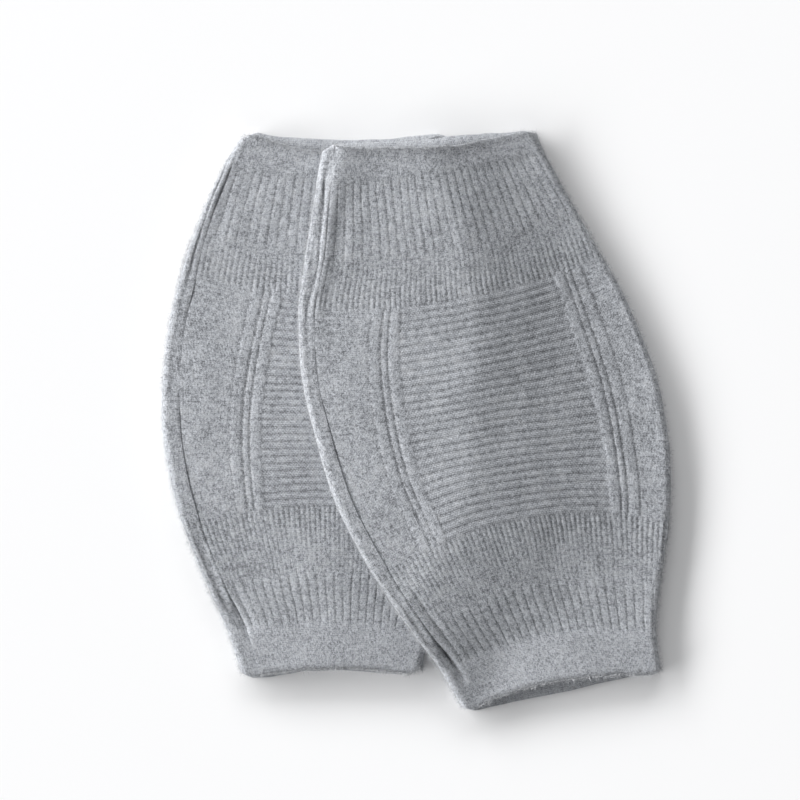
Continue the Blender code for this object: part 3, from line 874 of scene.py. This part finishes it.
# %% The shape of a fibre
def nap_of(side, where, count, seed):
    """Ring points of loose fibres: (fibre, ring, corner, xyz), in mm."""
    rng = np.random.default_rng(seed)
    lies, course, half, arc = nap_roots(side, where, count, rng)
    course = course + hem_pull(side, course, arc, half)
    root, normal = bare(lies, course, arc), outward(lies, course, arc)
    across = bare(lies, course, arc + NUDGE) - root
    across /= np.linalg.norm(across, axis=-1, keepdims=True)
    along = np.cross(normal, across)
    turn, rise = rng.uniform(0, 2 * math.pi, count), rng.uniform(*NAP_RISE[where], count)
    flat = across * np.cos(turn)[:, None] + along * np.sin(turn)[:, None]
    first = flat * np.cos(rise)[:, None] + normal * np.sin(rise)[:, None]
    second = first + 0.7 * rng.normal(size=(count, 3)) - 0.35 * normal
    second /= np.linalg.norm(second, axis=-1, keepdims=True)
    length = rng.uniform(*NAP_LENGTH, count)[:, None] / 2
    start = root + normal * NAP_ROOT_HEIGHT
    spine = np.stack([start, start + first * length, start + (first + second) * length], 1)
    side_a = np.cross(first, normal)
    side_a /= np.maximum(np.linalg.norm(side_a, axis=-1, keepdims=True), 1e-6)
    side_b = np.cross(first, side_a)
    rings = []
    for ring, taper in enumerate(NAP_TAPER):
        corners = []
        for corner in range(NAP_SIDES):
            angle = corner * 2 * math.pi / NAP_SIDES
            aside = (side_a * math.cos(angle) + side_b * math.sin(angle)) * (NAP_RADIUS * taper)
            corners.append(spine[:, ring] + aside)
        rings.append(np.stack(corners, 1))
    points = np.stack(rings, 1)
    points[..., 2] = np.maximum(points[..., 2], NAP_LOWEST)
    return points


def fibre_faces():
    """The faces of one fibre: a band of quads between each two rings, and a cap at each end."""
    faces = []
    for ring in range(len(NAP_TAPER) - 1):
        low = ring * NAP_SIDES
        for k in range(NAP_SIDES):
            after = (k + 1) % NAP_SIDES
            faces.append([low + k, low + after, low + NAP_SIDES + after, low + NAP_SIDES + k])
    top = (len(NAP_TAPER) - 1) * NAP_SIDES
    return faces + [list(range(NAP_SIDES))[::-1], [top + k for k in range(NAP_SIDES)]]


def build_nap(name, side, seed):
    """All the loose fibres of a warmer, as one mesh."""
    points = np.concatenate([
        nap_of(side, face, count, seed + k) for k, (face, count) in enumerate(NAP_FIBRES.items())])
    base = np.arange(len(points))[:, None] * len(NAP_TAPER) * NAP_SIDES
    faces = []
    for face in fibre_faces():
        faces += (base + np.array(face)[None, :]).tolist()
    piece = new_piece(name, in_metres(points), faces)
    print(name, len(points), "fibres,", triangle_count(piece.data), "triangles")
    return piece


# %% Both naps
PALE_FIBRE = (0.80, 0.81, 0.83, 1.0)
NAP_SEEDS = {"left": 70, "right": 80}

loose = Finish("loose_fibre")
tint = loose.node("ShaderNodeTexNoise", inputs={
    "Vector": loose.node("ShaderNodeTexCoord", output=3), "Scale": 900.0, "Detail": 1.0})
shade = loose.node("ShaderNodeMix", {"data_type": "RGBA"}, {
    "Factor": tint, 6: DARK_FIBRE, 7: PALE_FIBRE}, output=2)
loose.feed(loose.shader.inputs["Base Color"], shade)
loose.shader.inputs["Roughness"].default_value = 0.7
for side, seed in NAP_SEEDS.items():
    nap = build_nap(f"{side}_nap", side, seed)
    nap.data.materials.append(loose.material)
    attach(nap, "root")

# %% [markdown]
# ## Each panel on its body
#
# Each panel stands for its plain solid, which is hidden, and rides on the only body.

WIDTH_SAMPLES = 50  # places along the garment at which its width is worked out

for (side, face), piece in panels.items():
    widths = half_round(LIES[side], np.linspace(0, LENGTH, WIDTH_SAMPLES))
    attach(piece, "root")
    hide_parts(f"{side}_{face}")

# %% [markdown]
# ## The studio
#
# A white sweep under soft light. One broad window of light stands low on the left, which gives the bright
# left folds and the soft shadows on the right. A second window beyond the top hems and a pale wall on the
# near side are weaker, and the pale room fills in the rest. Area lights are used, because their size sets
# how soft a shadow's edge is.

# %% Floor and light
FLOOR_SIZE, FLOOR_DROP = 12.0, 0.0004  # the floor lies a hair under the solids, so that no faces coincide

bpy.ops.mesh.primitive_plane_add(size=FLOOR_SIZE, location=(0, 0, -FLOOR_DROP))
floor = bpy.context.object
floor.name = "floor"
paper = Finish("paper")
paper.shader.inputs["Base Color"].default_value = (0.93, 0.93, 0.935, 1.0)
paper.shader.inputs["Roughness"].default_value = 0.9
floor.data.materials.append(paper.material)

LIGHT_DISTANCE = 20.0
LIGHT_WATTS = 5740.0  # from straight above, for all of the floor's light


def window(name, turn, elevation, width, height, share):
    """A soft light, its angles in degrees from the object.

    turn goes from the left towards the picture's top, and share is its part of the floor's light.
    """
    data = bpy.data.lights.new(name, "AREA")
    data.shape = "RECTANGLE"
    data.size = 2 * LIGHT_DISTANCE * math.tan(math.radians(width / 2))
    data.size_y = 2 * LIGHT_DISTANCE * math.tan(math.radians(height / 2))
    turn, elevation = math.radians(turn), math.radians(elevation)
    data.energy = LIGHT_WATTS * share / math.sin(elevation)
    lamp = bpy.data.objects.new(name, data)
    bpy.context.scene.collection.objects.link(lamp)
    level = LIGHT_DISTANCE * math.cos(elevation)
    lamp.location = (-level * math.cos(turn), level * math.sin(turn), LIGHT_DISTANCE * math.sin(elevation))
    lamp.rotation_euler = (Vector((0, 0, 0)) - lamp.location).to_track_quat("-Z", "Y").to_euler()


window("window", turn=15, elevation=18, width=88, height=14, share=0.66)
window("second window", turn=88, elevation=22, width=50, height=16, share=0.15)
window("pale wall", turn=-80, elevation=32, width=50, height=24, share=0.045)

world = bpy.data.worlds.new("room")
bpy.context.scene.world = world
world.use_nodes = True
world.node_tree.nodes["Background"].inputs["Color"].default_value = (0.97, 0.985, 1.0, 1.0)
world.node_tree.nodes["Background"].inputs["Strength"].default_value = 0.175
bpy.context.scene.view_settings.view_transform = "Standard"
